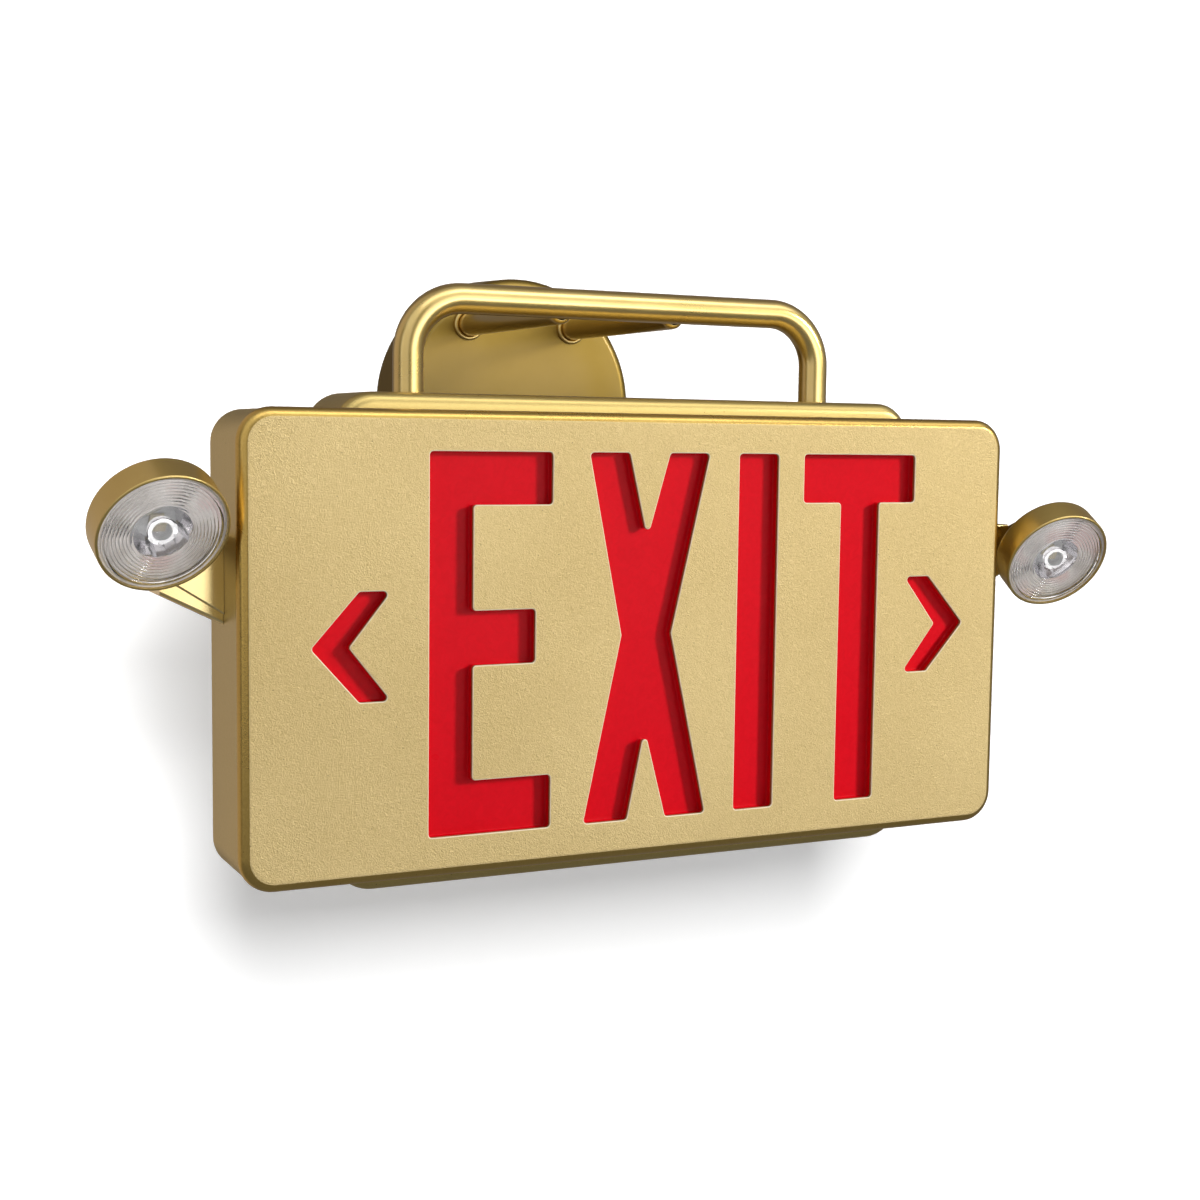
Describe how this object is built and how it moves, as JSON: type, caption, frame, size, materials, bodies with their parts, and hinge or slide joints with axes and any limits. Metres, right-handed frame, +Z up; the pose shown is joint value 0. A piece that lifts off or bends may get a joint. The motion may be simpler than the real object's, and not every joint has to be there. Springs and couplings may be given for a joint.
{
  "type": "emergency exit light",
  "caption": "Single-face exit sign with stencil letters and arrows over a red panel, aimable lamp heads at both ends, hung from a round wall canopy by a bent tube and rods.",
  "frame": {"origin": "centre of the wall canopy's back face, on the wall plane", "axes": "+Z up; +Y into the wall, so the lettered face looks along -Y; +X to the right seen from the front"},
  "size_m": [0.463, 0.2006, 0.2611],
  "materials": {
    "gold_case": "sprayed satin brass paint with a fine orange-peel grain",
    "gold_metal": "smooth satin brass coating",
    "red_panel": "glossy translucent red",
    "white_tray": "matt white, diffusing",
    "circuit_board": "green solder mask",
    "white_board": "white solder mask",
    "led_die": "yellow phosphor in clear resin",
    "zinc_steel": "bright zinc plating",
    "galvanised": "galvanised sheet",
    "cell_sleeve": "yellow shrink sleeve",
    "iron_core": "varnished laminations with a taped winding",
    "black_plastic": "plain black moulding",
    "green_plastic": "plain green moulding",
    "button_red": "glossy red moulding",
    "clear_lens": "clear moulded polycarbonate with prism rings",
    "mirror_cone": "vacuum-metallised facets"
  },
  "bodies": {
    "sign": {"front_cover": "gold_case", "red_diffuser": "red_panel", "rear_case": "gold_case", "rear_plate": "gold_metal", "rear_plate_screws": "zinc_steel", "light_tray": "white_tray", "tray_screws": "zinc_steel", "led_strips": "white_board", "sign_leds": "led_die", "chassis_plate": "galvanised", "battery_cells": "cell_sleeve", "battery_strap": "galvanised", "charger_board": "circuit_board", "board_spacers": "zinc_steel", "board_screws": "zinc_steel", "transformer": "iron_core", "capacitors": "black_plastic", "relay": "black_plastic", "terminal_block": "green_plastic", "test_switch": "black_plastic", "switch_board": "circuit_board", "charge_indicator": "button_red", "hanger_tube": "gold_metal", "lock_nuts": "zinc_steel", "lock_washers": "zinc_steel", "arm_rods": "gold_metal", "rod_collars": "gold_metal", "rod_nuts": "zinc_steel", "rod_washers": "zinc_steel", "wall_canopy": "gold_metal", "crossbar": "galvanised", "canopy_screws": "gold_metal", "bracket_screws": "zinc_steel", "left_bracket": "gold_case", "right_bracket": "gold_case"},
    "button": {"test_button": "button_red"},
    "left_arm_body": {"left_arm": "gold_metal", "left_arm_nut": "zinc_steel", "left_hinge_pin": "zinc_steel"},
    "left_head_body": {"left_head_shell": "gold_metal", "left_lens": "clear_lens", "left_reflector": "mirror_cone", "left_lamp_board": "white_board", "left_lamp_led": "led_die"},
    "right_arm_body": {"right_arm": "gold_metal", "right_arm_nut": "zinc_steel", "right_hinge_pin": "zinc_steel"},
    "right_head_body": {"right_head_shell": "gold_metal", "right_lens": "clear_lens", "right_reflector": "mirror_cone", "right_lamp_board": "white_board", "right_lamp_led": "led_die"}
  },
  "joints": [
    {"name": "test_button_press", "type": "slide", "parent": "sign", "child": "button", "axis": [0, 0, 1], "range_m": [0, 0.0016], "stiffness_N_per_m": 300},
    {"name": "left_arm_swivel", "type": "hinge", "parent": "sign", "child": "left_arm_body", "pos_m": [-0.2005, -0.147, -0.064], "axis": [1, 0, 0], "range_deg": [-35, 15]},
    {"name": "left_head_pan", "type": "hinge", "parent": "left_arm_body", "child": "left_head_body", "pos_m": [-0.20761, -0.1713, -0.04287], "axis": [0.0717, -0.51, 0.8572], "range_deg": [-45, 3]},
    {"name": "right_arm_swivel", "type": "hinge", "parent": "sign", "child": "right_arm_body", "pos_m": [0.2005, -0.147, -0.064], "axis": [1, 0, 0], "range_deg": [-35, 15]},
    {"name": "right_head_pan", "type": "hinge", "parent": "right_arm_body", "child": "right_head_body", "pos_m": [0.20761, -0.1713, -0.06027], "axis": [-0.0717, -0.51, 0.8572], "range_deg": [-3, 45]}
  ]
}
